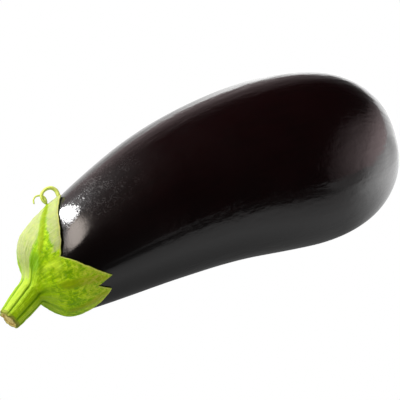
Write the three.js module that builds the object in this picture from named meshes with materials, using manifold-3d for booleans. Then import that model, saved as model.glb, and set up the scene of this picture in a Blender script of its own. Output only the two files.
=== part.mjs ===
import * as THREE from "three";
import { mergeVertices } from "three/addons/utils/BufferGeometryUtils.js";
import Module from "manifold-3d";

// An eggplant lying on its side: the fruit, the five-lobed calyx that clasps its neck, and the ribbed
// stem with its cut end. Millimetres; +Z is up, +X runs from the stem to the blossom end.
//
// Every piece is first described round a straight axis, by
//   along  the distance from the neck's pole towards the blossom end,
//   angle  the direction round the axis, from its top towards the front (-Y),
//   reach  the distance from the neck's pole measured on the fruit's skin,
//   height the distance off the skin.
// The straight axis is then bent and pitched, and the whole is set on the ground.

// Fruit
const FRUIT_LENGTH = 203.6;
const SHOULDER_ALONG = 10.9;
const SHOULDER_RADIUS = 23.3;
const SHOULDER_SLOPE = 0.326;
const SHOULDER_FULLNESS_AT_POLE = 0.8;
const SHOULDER_FULLNESS_AT_END = 0.4;
const BELLY_ALONG = 148;
const BELLY_RADIUS = 44.6;
const FLANK_PULL_AT_NECK = 0.2;
const FLANK_PULL_AT_BELLY = 0.29;
const END_PULL_AT_BELLY = 0.652;
const END_PULL_AT_TIP = 0.595;
const DIMPLE_DEPTH = 1.1;
const DIMPLE_RADIUS = 4.5;
const SCAR_HEIGHT = 0.6;
const SCAR_RADIUS = 1.6;
const FRUIT_SIDES = 48;
const SHOULDER_RINGS = 9;
const FLANK_RINGS = 17;
const END_RINGS = 15;
const SCAR_RINGS = 4;

// How the straight axis is bent and pitched
const BEND_ALONG = 107.8;
const BEND_RADIUS = 181;
const BEND_FADE = 31.4e-6;
const BEND_SIDE = THREE.MathUtils.degToRad(75);
const PITCH = THREE.MathUtils.degToRad(6.2);
const FLAT_DEPTH = 0.6;
const CLEARANCE = 0.3;

// Calyx
const GAP = 0.45;
const BOSS_ALONG = -6.5;
const BOSS_RADIUS = 7.2;
const FILLET_AT_BOSS = 0.6;
const FILLET_AT_DOME = 4.5;
const DOME_REACH = 12;
const DOME_SPREAD = 6;
const SHEET_AT_DOME = 1.3;
const SHEET_AT_RIM = 0.95;
const RIM_THICKNESS = 0.75;
const RIM_WIDTH = 1.6;
const MIDRIB_HEIGHT = 0.5;
const MIDRIB_WIDTH = 2.2;
const DOME_ROWS = 6;
const LOBE_ROWS = 12;
const INNER_ROWS = 17;
// The rim, corner by corner round the fruit: notches lie between the lobes, and the first lobe's tip is
// torn off between two corners. Angle in degrees, reach in mm, and the columns up to the next corner.
const RIM = [
  { angle: -105, reach: 24, columns: 8 },
  { angle: -51, reach: 45.5, columns: 3 },
  { angle: -33, reach: 50.5, columns: 3 },
  { angle: -17, reach: 43.5, columns: 8 },
  { angle: 34.5, reach: 28, columns: 9 },
  { angle: 79.5, reach: 45, columns: 2 },
  { angle: 85, reach: 37.2, columns: 3 },
  { angle: 95.5, reach: 43.3, columns: 8 },
  { angle: 150, reach: 22, columns: 5 },
  { angle: 180, reach: 36, columns: 4 },
  { angle: 205, reach: 23, columns: 4 },
  { angle: 231, reach: 43, columns: 4 },
  { angle: 255, reach: 24, columns: 0 },
];
const RIM_WAVE = 0.02;
const RIM_HOLLOW = 0.03;
// Midribs end at the lobes' tips and lean sideways on their way there, in degrees per mm.
const MIDRIBS = [
  { angle: -50, reach: 47, lean: 2.6 },
  { angle: 79.5, reach: 45, lean: -0.6 },
  { angle: 95.5, reach: 43.3, lean: 0.6 },
  { angle: 180, reach: 36, lean: 0 },
  { angle: 231, reach: 43, lean: 0 },
];
// The torn lobe stands off the skin on its far side.
const STAND_OFF = 1.1;

// Curls at the torn lobe's two corners, each a strip wound round a centre over the skin.
const CURLS = [
  {
    angle: -42, reach: 47.6, height: 3.8, radius: 3.8, endRadius: 3.6,
    start: -34, sweep: 248, from: 2.4, to: -1.6, thick: 0.9, wide: 1.7,
  },
  {
    angle: -50, reach: 43.4, height: 5.5, radius: 4.3, endRadius: 2.4,
    start: -80, sweep: 245, from: 0.4, to: -0.8, thick: 0.75, wide: 1,
  },
];
const CURL_SIDES = 6;
const CURL_STEPS = 20;

// Stem
const STEM_END_ALONG = -22;
const STEM_MIDDLE_RADIUS = 6.5;
const STEM_END_RADIUS = 5.8;
const LEAN_FROM = 6;
const LEAN_EASE = 3;
const LEAN_SLOPE = 0.473;
// Grooves between the stem's ridges: angle and width in degrees, depth in mm.
const GROOVES = [
  { angle: 15.6, width: 8, depth: 0.55 },
  { angle: 69, width: 12, depth: 0.6 },
  { angle: 111, width: 8, depth: 0.8 },
  { angle: 160, width: 9, depth: 0.8 },
  { angle: 204, width: 9, depth: 0.7 },
  { angle: 247, width: 10, depth: 0.8 },
  { angle: 288, width: 9, depth: 0.6 },
  { angle: 328, width: 11, depth: 0.7 },
];
// How far the cut end is tilted off square, in mm per mm, and the side on which it is longest.
const CUT_TILT = 0.22;
const CUT_SIDE = THREE.MathUtils.degToRad(52);
const STEM_SIDES = 72;
const STEM_ROWS = 12;

const cos = Math.cos;
const sin = Math.sin;
const lerp = THREE.MathUtils.lerp;
const smoothstep = THREE.MathUtils.smoothstep;
const rad = THREE.MathUtils.degToRad;

// The meridian, a half outline of the fruit: x is along the axis, y is the radius.
const shoulderToBelly = BELLY_ALONG - SHOULDER_ALONG;
const bellyToEnd = FRUIT_LENGTH - BELLY_ALONG;
const shoulderCurve = new THREE.CubicBezierCurve(
  new THREE.Vector2(0, 0),
  new THREE.Vector2(0, SHOULDER_RADIUS * SHOULDER_FULLNESS_AT_POLE),
  new THREE.Vector2(
    SHOULDER_ALONG * (1 - SHOULDER_FULLNESS_AT_END),
    SHOULDER_RADIUS - SHOULDER_ALONG * SHOULDER_FULLNESS_AT_END * SHOULDER_SLOPE,
  ),
  new THREE.Vector2(SHOULDER_ALONG, SHOULDER_RADIUS),
);
const flankCurve = new THREE.CubicBezierCurve(
  new THREE.Vector2(SHOULDER_ALONG, SHOULDER_RADIUS),
  new THREE.Vector2(
    SHOULDER_ALONG + shoulderToBelly * FLANK_PULL_AT_NECK,
    SHOULDER_RADIUS + shoulderToBelly * FLANK_PULL_AT_NECK * SHOULDER_SLOPE,
  ),
  new THREE.Vector2(BELLY_ALONG - shoulderToBelly * FLANK_PULL_AT_BELLY, BELLY_RADIUS),
  new THREE.Vector2(BELLY_ALONG, BELLY_RADIUS),
);
const endCurve = new THREE.CubicBezierCurve(
  new THREE.Vector2(BELLY_ALONG, BELLY_RADIUS),
  new THREE.Vector2(BELLY_ALONG + bellyToEnd * END_PULL_AT_BELLY, BELLY_RADIUS),
  new THREE.Vector2(FRUIT_LENGTH, BELLY_RADIUS * END_PULL_AT_TIP),
  new THREE.Vector2(FRUIT_LENGTH, 0),
);
const meridian = new THREE.CurvePath();
meridian.add(shoulderCurve);
meridian.add(flankCurve);
meridian.add(endCurve);
const meridianLength = meridian.getLength();

// A point at a reach along the skin and a height off it, as (along, radius).
function offSkin(reach, height) {
  const point = meridian.getPoint(reach / meridianLength);
  const behind = meridian.getPoint(Math.max(reach - 0.2, 0) / meridianLength);
  const ahead = meridian.getPoint(Math.min(reach + 0.2, meridianLength) / meridianLength);
  const tangent = ahead.sub(behind).normalize();
  return new THREE.Vector2(point.x - tangent.y * height, point.y + tangent.x * height);
}

// The direction of the bent axis at a signed distance from the middle of the bend.
function bendAngle(x) {
  return x / BEND_RADIUS - BEND_FADE * x * Math.abs(x);
}

// Where the bent axis has got to, by Simpson's rule over the direction.
function bentAxis(x) {
  const steps = 24;
  let forward = 0;
  let sideways = 0;
  for (let i = 0; i <= steps; i++) {
    const weight = i === 0 || i === steps ? 1 : i % 2 ? 4 : 2;
    const angle = bendAngle((x * i) / steps);
    forward += (weight * cos(angle) * x) / (3 * steps);
    sideways += (weight * sin(angle) * x) / (3 * steps);
  }
  return { forward, sideways, angle: bendAngle(x) };
}

// From the straight axis to the bent and pitched one. up and front are measured across the axis.
function placed(along, up, front) {
  const across = -up * cos(BEND_SIDE) + front * sin(BEND_SIDE);
  const square = up * sin(BEND_SIDE) + front * cos(BEND_SIDE);
  const axis = bentAxis(along - BEND_ALONG);
  const x = axis.forward - across * sin(axis.angle);
  const bent = axis.sideways + across * cos(axis.angle);
  const z = -bent * cos(BEND_SIDE) + square * sin(BEND_SIDE);
  const y = bent * sin(BEND_SIDE) + square * cos(BEND_SIDE);
  return new THREE.Vector3(x * cos(PITCH) - z * sin(PITCH), -y, x * sin(PITCH) + z * cos(PITCH));
}

function placedRound(along, radius, angle) {
  return placed(along, radius * cos(angle), radius * sin(angle));
}

// The angle between the stem and the axis: the stem leans towards the front.
function stemLean(along) {
  const run = LEAN_FROM - along;
  return Math.atan((LEAN_SLOPE * run * (run + 2 * LEAN_EASE)) / (run + LEAN_EASE) ** 2);
}

// The same as placedRound, for a ring square to the stem.
function placedOnStem(along, radius, angle) {
  const run = LEAN_FROM - along;
  const shift = (LEAN_SLOPE * run * run) / (run + LEAN_EASE);
  const lean = stemLean(along);
  return placed(
    along + radius * sin(angle) * sin(lean),
    radius * cos(angle),
    shift + radius * sin(angle) * cos(lean),
  );
}

// A lathe's grid of vertices, each moved to where the formula puts it.
// The formula is given the row, from the first profile point to the last, and the column.
function sculpted(rows, columns, formula) {
  const profile = [];
  for (let row = 0; row < rows; row++) {
    profile.push(new THREE.Vector2(1, row));
  }
  const geometry = new THREE.LatheGeometry(profile, columns);
  const position = geometry.getAttribute("position");
  for (let column = 0; column <= columns; column++) {
    for (let row = 0; row < rows; row++) {
      const point = formula(row, column % columns);
      position.setXYZ(column * rows + row, point.x, point.y, point.z);
    }
  }
  return geometry;
}

const wasm = await Module();
wasm.setup();

// The geometry as one closed solid, with the triangles that shrank to a line at a pole left out.
function solid(geometry) {
  geometry.deleteAttribute("normal");
  geometry.deleteAttribute("uv");
  const merged = mergeVertices(geometry, 1e-4);
  const corners = merged.index.array;
  const kept = [];
  for (let i = 0; i < corners.length; i += 3) {
    const [a, b, c] = [corners[i], corners[i + 1], corners[i + 2]];
    if (a !== b && b !== c && c !== a) {
      kept.push(a, b, c);
    }
  }
  return new wasm.Manifold(
    new wasm.Mesh({
      numProp: 3,
      vertProperties: new Float32Array(merged.attributes.position.array),
      triVerts: new Uint32Array(kept),
    }),
  );
}

function geometryOf(manifold) {
  const mesh = manifold.getMesh();
  const geometry = new THREE.BufferGeometry();
  geometry.setAttribute("position", new THREE.BufferAttribute(mesh.vertProperties, 3));
  geometry.setIndex(new THREE.BufferAttribute(mesh.triVerts, 1));
  geometry.computeVertexNormals();
  return geometry;
}

// Fruit: the meridian turned round the axis, with a dimple and a small scar at the blossom end.
function fruitReaches() {
  const shoulder = shoulderCurve.getLength();
  const flank = shoulder + flankCurve.getLength();
  const scar = meridianLength - DIMPLE_RADIUS * 1.6;
  const reaches = [];
  for (let i = 0; i < SHOULDER_RINGS; i++) {
    reaches.push((shoulder * i) / SHOULDER_RINGS);
  }
  for (let i = 0; i < FLANK_RINGS; i++) {
    reaches.push(lerp(shoulder, flank, i / FLANK_RINGS));
  }
  for (let i = 0; i < END_RINGS; i++) {
    reaches.push(lerp(flank, scar, i / END_RINGS));
  }
  for (let i = 0; i <= SCAR_RINGS; i++) {
    reaches.push(lerp(scar, meridianLength, i / SCAR_RINGS));
  }
  return reaches;
}

function scarHeight(radius) {
  const dimple = -DIMPLE_DEPTH * Math.exp(-((radius / DIMPLE_RADIUS) ** 2));
  const scar = SCAR_HEIGHT * Math.exp(-((radius / SCAR_RADIUS) ** 4));
  return dimple + scar;
}

const reaches = fruitReaches();
const fruitRings = reaches.map((reach) => {
  const point = offSkin(reach, 0);
  const height = reach > meridianLength / 2 ? scarHeight(point.y) : 0;
  return offSkin(reach, height);
});
fruitRings[0].y = 0;
fruitRings[fruitRings.length - 1].y = 0;

const fruitGeometry = sculpted(fruitRings.length, FRUIT_SIDES, (row, column) => {
  const ring = fruitRings[row];
  return placedRound(ring.x, ring.y, (column / FRUIT_SIDES) * 2 * Math.PI);
});

// The ground cuts a small flat spot off the underside.
fruitGeometry.computeBoundingBox();
const ground = fruitGeometry.boundingBox.min.z + FLAT_DEPTH;

function raisedTo(geometry, floor) {
  const position = geometry.getAttribute("position");
  for (let i = 0; i < position.count; i++) {
    position.setZ(i, Math.max(position.getZ(i), floor));
  }
  return geometry;
}

// The depth of the stem's grooves at an angle round it. They fade out on the calyx.
function groove(angle) {
  let deepest = 0;
  for (const { angle: middle, width, depth } of GROOVES) {
    const aside = THREE.MathUtils.euclideanModulo(THREE.MathUtils.radToDeg(angle) - middle + 180, 360) - 180;
    deepest = Math.max(deepest, depth * Math.exp(-((aside / width) ** 2)));
  }
  return deepest;
}

// Calyx: the columns of its rim.
const rimColumns = [];
for (let i = 0; i + 1 < RIM.length; i++) {
  const from = RIM[i];
  const to = RIM[i + 1];
  for (let k = 0; k < from.columns; k++) {
    const part = k / from.columns;
    const wave = RIM_WAVE * sin(2 * Math.PI * part) - RIM_HOLLOW * sin(Math.PI * part);
    rimColumns.push({
      angle: rad(lerp(from.angle, to.angle, part)),
      reach: lerp(from.reach, to.reach, part + wave),
    });
  }
}

// How far the sheet stands off the skin: only the torn lobe's far side does.
function standOff(angle, reach) {
  const degrees = THREE.MathUtils.radToDeg(angle);
  const farSide = smoothstep(-degrees, 0, 45) * (1 - smoothstep(-degrees, 75, 105));
  return STAND_OFF * farSide * smoothstep(reach, 24, 42);
}

// The midrib of each lobe, a low ridge from the dome to the tip.
function midrib(angle, reach, rim) {
  const radius = offSkin(reach, 0).y;
  let height = 0;
  for (const rib of MIDRIBS) {
    const centre = rad(rib.angle + rib.lean * (rib.reach - reach));
    const aside = (angle - centre) * radius;
    height = Math.max(height, Math.exp(-((aside / MIDRIB_WIDTH) ** 2)));
  }
  return MIDRIB_HEIGHT * height * (1 - smoothstep(reach, rim * 0.8, rim));
}

function outerHeight(angle, reach, rim) {
  const part = (reach - DOME_REACH) / (rim - DOME_REACH);
  const sheet = lerp(SHEET_AT_RIM, SHEET_AT_DOME, Math.max(1 - part, 0) ** 1.5);
  const thickness = lerp(RIM_THICKNESS, sheet, smoothstep(rim - reach, 0, RIM_WIDTH));
  const furrow = 0.6 * groove(angle) * Math.exp(-((Math.max(reach - DOME_REACH, 0) / 7) ** 2));
  return GAP + thickness + standOff(angle, reach) + midrib(angle, reach, rim) - furrow;
}

function onSheet(angle, reach, rim) {
  const point = offSkin(reach, outerHeight(angle, reach, rim));
  return placedRound(point.x, point.y, angle);
}

function innerHeight(angle, reach) {
  return GAP + standOff(angle, reach);
}

// The dome starts farther from the stem at the front, where the stem's foot spreads widest.
function domeReach(angle) {
  const aside = (THREE.MathUtils.radToDeg(angle) - 78) / 42;
  return DOME_REACH + DOME_SPREAD * Math.exp(-(aside ** 2));
}

// The fillet from the boss that carries the stem to the dome. It leaves along the stem, for a part of the
// way down to the sheet, and arrives along the sheet.
function fillet(angle, rim) {
  const radius = BOSS_RADIUS - groove(angle);
  const foot = placedOnStem(BOSS_ALONG, radius, angle);
  const down = placedOnStem(BOSS_ALONG + 0.1, radius, angle).sub(foot).divideScalar(0.1);
  const depth = -BOSS_ALONG - radius * sin(angle) * sin(stemLean(BOSS_ALONG)) - 0.8;
  const reach = domeReach(angle);
  const edge = onSheet(angle, reach, rim);
  const slope = onSheet(angle, reach + 0.5, rim).sub(edge).normalize();
  return new THREE.CubicBezierCurve3(
    foot,
    foot.clone().addScaledVector(down, FILLET_AT_BOSS * depth),
    edge.clone().addScaledVector(slope, -FILLET_AT_DOME),
    edge,
  );
}

const calyxRows = 1 + DOME_ROWS + LOBE_ROWS + INNER_ROWS;
const calyxGeometry = sculpted(calyxRows, rimColumns.length, (row, column) => {
  const { angle, reach: rim } = rimColumns[column];
  if (row === 0) {
    return placedOnStem(BOSS_ALONG, 0, 0);
  }
  if (row <= DOME_ROWS) {
    return fillet(angle, rim).getPoint((row - 1) / DOME_ROWS);
  }
  if (row <= DOME_ROWS + LOBE_ROWS) {
    const part = (row - 1 - DOME_ROWS) / (LOBE_ROWS - 1);
    return onSheet(angle, lerp(domeReach(angle), rim, part ** 0.85), rim);
  }
  const part = 1 - (row - 1 - DOME_ROWS - LOBE_ROWS) / (INNER_ROWS - 1);
  const reach = rim * part;
  const point = offSkin(reach, innerHeight(angle, reach));
  return placedRound(point.x, part === 0 ? 0 : point.y, angle);
});

// Curls: tapered strips wound in the plane of the axis and the skin's outward direction, from their
// start angle through their sweep, drifting sideways.
function curl({ angle, reach, height, radius, endRadius, start, sweep, from, to, thick, wide }) {
  const strip = new THREE.CylinderGeometry(0.5, 0.5, 1, CURL_SIDES, CURL_STEPS);
  const position = strip.getAttribute("position");
  const root = rad(angle);
  const centre = offSkin(reach, height);
  const outward = offSkin(reach, height + 1).sub(centre);
  for (let i = 0; i < position.count; i++) {
    const part = position.getY(i) + 0.5;
    const turn = rad(start + sweep * part);
    const taper = lerp(1, 0.75, part);
    const loop = lerp(radius, endRadius, part ** 0.5) + position.getX(i) * thick * taper;
    const aside = lerp(from, to, part) + position.getZ(i) * wide * taper;
    const along = centre.x + loop * (cos(turn) * outward.y + sin(turn) * outward.x);
    const out = centre.y + loop * (sin(turn) * outward.y - cos(turn) * outward.x);
    const point = placed(along, out * cos(root) - aside * sin(root), out * sin(root) + aside * cos(root));
    position.setXYZ(i, point.x, point.y, point.z);
  }
  return strip;
}

let calyx = solid(raisedTo(calyxGeometry, ground + CLEARANCE));
for (const values of CURLS) {
  calyx = calyx.add(solid(curl(values)));
}

// Stem: a ribbed rod, from its rough cut end to its foot on the calyx.
function stemProfile() {
  const foot = BOSS_ALONG - GAP;
  const end = STEM_END_ALONG;
  const profile = [
    new THREE.Vector2(end + 0.3, 0),
    new THREE.Vector2(end + 0.2, 1.2),
    new THREE.Vector2(end + 0.7, STEM_END_RADIUS - 2.4),
    new THREE.Vector2(end + 0.1, STEM_END_RADIUS - 1.6),
    new THREE.Vector2(end, STEM_END_RADIUS - 0.9),
  ];
  const side = new THREE.CubicBezierCurve(
    new THREE.Vector2(end + 1, STEM_END_RADIUS),
    new THREE.Vector2(lerp(end, foot, 0.45), STEM_MIDDLE_RADIUS),
    new THREE.Vector2(lerp(end, foot, 0.75), BOSS_RADIUS),
    new THREE.Vector2(foot, BOSS_RADIUS),
  );
  for (let i = 0; i <= STEM_ROWS; i++) {
    profile.push(side.getPoint(i / STEM_ROWS));
  }
  profile.push(new THREE.Vector2(foot, 0));
  return profile;
}

const stemRings = stemProfile();
const stemGeometry = sculpted(stemRings.length, STEM_SIDES, (row, column) => {
  const ring = stemRings[row];
  const angle = (column / STEM_SIDES) * 2 * Math.PI;
  const depth = groove(angle) * smoothstep(ring.y, 1.2, STEM_END_RADIUS - 0.5);
  const radius = Math.max(ring.y - depth, 0);
  const fromEnd = smoothstep(ring.x, STEM_END_ALONG + 1, STEM_END_ALONG + 10);
  const tilt = CUT_TILT * radius * cos(angle - CUT_SIDE) * (1 - fromEnd);
  return placedOnStem(ring.x - tilt, radius, angle);
});

const materials = {
  fruit: new THREE.MeshStandardMaterial({ color: 0x12070a, roughness: 0.16, metalness: 0 }),
  calyx: new THREE.MeshStandardMaterial({ color: 0x8fb51c, roughness: 0.6, metalness: 0 }),
  stem: new THREE.MeshStandardMaterial({ color: 0x9cba3a, roughness: 0.65, metalness: 0 }),
};

function piece(name, body) {
  const mesh = new THREE.Mesh(geometryOf(body), materials[name]);
  mesh.name = name;
  return mesh;
}

const eggplant = new THREE.Group();
eggplant.name = "eggplant";
eggplant.add(piece("fruit", solid(raisedTo(fruitGeometry, ground))));
eggplant.add(piece("calyx", calyx));
eggplant.add(piece("stem", solid(stemGeometry)));

// The origin is under the middle of the bounding box, on the ground.
const box = new THREE.Box3().setFromObject(eggplant);
const middle = box.getCenter(new THREE.Vector3());
eggplant.position.set(-middle.x, -middle.y, -ground);

export default eggplant;
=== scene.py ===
"""An eggplant lying on its side: glossy skin, lobed green calyx with two curled strips, cut stem.

Every piece is first described round a straight axis, in millimetres: along it from the neck's pole, by
the angle round it from its top towards the front, by the reach measured on the skin, and by the height
off the skin. The axis is then bent and pitched, and the points go into the meshes in metres.
"""
from math import radians

import bpy
import numpy as np
from bpy.props import FloatProperty, FloatVectorProperty, PointerProperty
from mathutils import Matrix, Vector


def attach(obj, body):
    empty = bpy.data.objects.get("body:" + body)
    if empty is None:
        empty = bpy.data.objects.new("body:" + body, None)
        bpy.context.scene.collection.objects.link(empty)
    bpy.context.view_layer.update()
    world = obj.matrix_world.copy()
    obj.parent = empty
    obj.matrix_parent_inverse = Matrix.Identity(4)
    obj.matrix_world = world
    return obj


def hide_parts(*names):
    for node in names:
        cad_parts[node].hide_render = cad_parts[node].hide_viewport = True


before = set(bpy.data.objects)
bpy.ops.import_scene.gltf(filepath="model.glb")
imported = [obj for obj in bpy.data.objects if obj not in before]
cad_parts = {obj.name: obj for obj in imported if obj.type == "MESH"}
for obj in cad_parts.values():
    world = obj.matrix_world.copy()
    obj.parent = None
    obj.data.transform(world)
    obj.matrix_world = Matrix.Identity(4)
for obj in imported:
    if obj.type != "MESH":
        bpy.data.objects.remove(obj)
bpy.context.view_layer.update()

bl_info = {
    "name": "Eggplant",
    "version": (1, 0, 0),
    "blender": (4, 5, 0),
    "location": "3D View > Sidebar > Eggplant",
    "description": "Builds an eggplant's skin, calyx, curls and stem, and the stage it lies on",
    "category": "Add Mesh",
}

MILLIMETRE = 0.001
WHITE = (1.0, 1.0, 1.0)
# How softly a point below the ground is lifted onto it, in mm
GROUND_EASE = 0.1
# Rows of the lattices that random relief is mixed from
LATTICE_ROWS = 101

# Fruit, in mm: the meridian's joints and the fullness of its curves
FRUIT_LENGTH = 203.6
SHOULDER_ALONG = 10.9
SHOULDER_RADIUS = 23.3
SHOULDER_SLOPE = 0.326
SHOULDER_FULLNESS_AT_POLE = 0.8
SHOULDER_FULLNESS_AT_END = 0.4
BELLY_ALONG = 148.0
BELLY_RADIUS = 44.6
FLANK_PULL_AT_NECK = 0.2
FLANK_PULL_AT_BELLY = 0.29
END_PULL_AT_BELLY = 0.652
END_PULL_AT_TIP = 0.595
DIMPLE_DEPTH = 1.1
DIMPLE_RADIUS = 4.5
SCAR_HEIGHT = 0.6
SCAR_RADIUS = 1.6
# Where the skin starts to draw in towards the torn lobe, and the radius of that curve
NECK_DIP_REACH = 62.0
NECK_DIP_RADIUS = 220.0

# How the straight axis is bent, pitched and set on the ground
BEND_ALONG = 107.8
BEND_RADIUS = 181.0
BEND_FADE = 31.4e-6
BEND_SIDE = radians(75)
PITCH = radians(6.2)
GROUND_SHIFT = (15.409, 3.123, 41.151)

# Calyx, in mm; the rim's wave and hollow are parts of the way between two corners
GAP = 0.45
BOSS_ALONG = -6.5
BOSS_RADIUS = 7.2
FILLET_AT_BOSS = 0.6
FILLET_AT_DOME = 4.5
DOME_REACH = 12.0
DOME_SPREAD = 6.0
SHEET_AT_DOME = 1.3
SHEET_AT_RIM = 0.95
RIM_THICKNESS = 0.6
RIM_WIDTH = 1.6
MIDRIB_HEIGHT = 0.5
MIDRIB_WIDTH = 2.2
RIM_WAVE = 0.02
RIM_HOLLOW = 0.03
STAND_OFF = 0.4
RIM_CLOSER = 0.25
RIM_ROLL = 0.3
LOWEST_SHEET = 0.9
# The reach at which the boss's edge is counted, for the sheet's colours
BOSS_REACH = 4.0
# Angle of the front notch, where the seam starts
NOTCH = 34.5
# Columns of the sheet's grid for each step of the rim
COLUMNS_A_STEP = 9
# The rim's corners: angle in degrees, reach in mm, and the steps up to the next one
RIM = np.array([
    (-105, 24, 8), (-51, 45.5, 3), (-33, 50.5, 3), (-17, 43.5, 8), (NOTCH, 28, 9), (79.5, 45, 2),
    (85, 37.2, 3), (95.5, 43.3, 8), (150, 22, 5), (180, 36, 4), (205, 23, 4), (231, 43, 4),
    (255, 24, 0),
])
# The midribs: angle and reach of the tip, and the sideways lean in degrees per mm
MIDRIBS = ((-50, 47, 2.6), (79.5, 45, -0.6), (95.5, 43.3, 0.6), (180, 36, 0), (231, 43, 0))

# Stem, in mm, with the slope of its lean in mm per mm
STEM_LAY_RADIUS = 7.0
STEM_END_ALONG = -22.0
STEM_SINK = 0.3
STEM_MIDDLE_RADIUS = 6.5
STEM_END_RADIUS = 5.8
LEAN_FROM = 6.0
LEAN_EASE = 3.0
LEAN_SLOPE = 0.473
# The stem's grooves: angle, width in degrees and depth in mm
GROOVES = (
    (15.6, 6, 0.55), (69, 8, 0.6), (111, 6, 0.8), (160, 7, 0.8), (204, 7, 0.7), (247, 7, 0.8),
    (288, 7, 0.6), (328, 8, 0.7),
)
CUT_RING_RADIUS = 3.4
# How far the cut face is tilted off square, in mm per mm, and the angle of the side that sticks out
CUT_TILT = 0.22
CUT_SIDE = radians(52)

# The camera, from the photograph: where it stands round the object, and the point it looks at
CAMERA_AZIMUTH = radians(-24.3)
CAMERA_ELEVATION = radians(38)
CAMERA_DISTANCE = 0.75
CAMERA_TARGET = Vector((0.001409, -0.006977, 0.040785))

# The lights: name, the point each one faces, the directions of its ends from there, distance, width.
# Directions are azimuth and elevation in degrees, lengths in metres
LIGHTS = (
    ("key_light", (-0.0674, -0.0092, 0.0562), (-160, 18), (-131, 52.5), 0.6, 0.028),
    ("top_light", (-0.0691, -0.0192, 0.0527), (-130, 53), (-46, 58), 0.6, 0.095),
    ("fill_light", (-0.062, -0.004, 0.062), (-125, 25), (-65, 35), 0.7, 0.55),
)
# The room's broad glows: azimuth and elevation, how far each one spreads, its setting and its share
GLOWS = (
    (80, -12, 0.75, "right_glow", 1.0),
    (56, 8, 0.8, "right_glow", 0.68),
    (179, -4, 0.72, "back_glow", 1.0),
)


# Shape: the same formulas as the solids, on finer grids

def blend(low, high, part):
    """Straight mix of low and high by part."""
    return low + (high - low) * part


def smooth(value, low, high):
    """0 up to low, 1 from high on, and 3t squared less 2t cubed in between."""
    part = np.clip((value - low) / (high - low), 0, 1)
    return part * part * (3 - 2 * part)


def bell(value, width):
    """1 at 0 and falling off to both sides: e to the minus of value over width, squared."""
    return np.exp(-(value / width) ** 2)


def cubic(points, part):
    """Cubic Bezier curve through its four control points, each a pair."""
    a, b, c, d = (np.stack(np.broadcast_arrays(*point), -1).astype(float) for point in points)
    t = np.asarray(part, float)[..., None]
    return (1 - t) ** 3 * a + 3 * (1 - t) ** 2 * t * b + 3 * (1 - t) * t * t * c + t ** 3 * d


def meridian():
    """The fruit's half outline as (reach, along, radius): shoulder, flank and blossom end, three
    Bezier curves end to end, measured by their length from the neck's pole."""
    flank = BELLY_ALONG - SHOULDER_ALONG
    end = FRUIT_LENGTH - BELLY_ALONG
    shoulder_at, belly_at = (SHOULDER_ALONG, SHOULDER_RADIUS), (BELLY_ALONG, BELLY_RADIUS)
    back = SHOULDER_ALONG * SHOULDER_FULLNESS_AT_END
    curves = (
        ((0, 0), (0, SHOULDER_RADIUS * SHOULDER_FULLNESS_AT_POLE),
         (SHOULDER_ALONG - back, SHOULDER_RADIUS - back * SHOULDER_SLOPE), shoulder_at),
        (shoulder_at,
         (SHOULDER_ALONG + flank * FLANK_PULL_AT_NECK,
          SHOULDER_RADIUS + flank * FLANK_PULL_AT_NECK * SHOULDER_SLOPE),
         (BELLY_ALONG - flank * FLANK_PULL_AT_BELLY, BELLY_RADIUS), belly_at),
        (belly_at, (BELLY_ALONG + end * END_PULL_AT_BELLY, BELLY_RADIUS),
         (FRUIT_LENGTH, BELLY_RADIUS * END_PULL_AT_TIP), (FRUIT_LENGTH, 0)),
    )
    part = np.linspace(0, 1, 1500)
    line = np.concatenate([cubic(curve, part)[(1 if i else 0):] for i, curve in enumerate(curves)])
    steps = np.hypot(*np.diff(line, axis=0).T)
    return np.concatenate([[0], np.cumsum(steps)]), line[:, 0], line[:, 1]


REACH, ALONG, RADIUS = meridian()
FULL_REACH = REACH[-1]


def off_skin(reach, height):
    """(along, radius) at a reach on the skin and a height square to it."""
    behind, ahead = np.maximum(reach - 0.2, 0), np.minimum(reach + 0.2, FULL_REACH)
    run = np.interp(ahead, REACH, ALONG) - np.interp(behind, REACH, ALONG)
    rise = np.interp(ahead, REACH, RADIUS) - np.interp(behind, REACH, RADIUS)
    size = np.hypot(run, rise)
    along = np.interp(reach, REACH, ALONG) - height * rise / size
    return along, np.interp(reach, REACH, RADIUS) + height * run / size


def bent_axis(x):
    """Where the bent axis has got to: the direction is x over the bend's radius less a fading square
    term, and its cosine and sine are summed by Simpson's rule from the middle of the bend to x."""
    forward, sideways, steps = 0.0, 0.0, 24
    for i in range(steps + 1):
        weight = 1 if i in (0, steps) else 4 if i % 2 else 2
        at = x * i / steps
        turn = at / BEND_RADIUS - BEND_FADE * at * np.abs(at)
        forward = forward + weight * np.cos(turn) * x / (3 * steps)
        sideways = sideways + weight * np.sin(turn) * x / (3 * steps)
    return forward, sideways, x / BEND_RADIUS - BEND_FADE * x * np.abs(x)


def placed(along, up, front):
    """From the straight axis to the bent and pitched one, standing on the ground; up and front are
    measured across the axis."""
    across = -up * np.cos(BEND_SIDE) + front * np.sin(BEND_SIDE)
    square = up * np.sin(BEND_SIDE) + front * np.cos(BEND_SIDE)
    forward, sideways, turn = bent_axis(along - BEND_ALONG)
    x = forward - across * np.sin(turn)
    bent = sideways + across * np.cos(turn)
    z = -bent * np.cos(BEND_SIDE) + square * np.sin(BEND_SIDE)
    y = bent * np.sin(BEND_SIDE) + square * np.cos(BEND_SIDE)
    point = (x * np.cos(PITCH) - z * np.sin(PITCH), -y, x * np.sin(PITCH) + z * np.cos(PITCH))
    return np.stack(np.broadcast_arrays(*point), -1) + np.array(GROUND_SHIFT)


def placed_round(along, radius, angle):
    """A point at a radius and an angle round the axis: its cosine is up and its sine to the front."""
    return placed(along, radius * np.cos(angle), radius * np.sin(angle))


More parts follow.
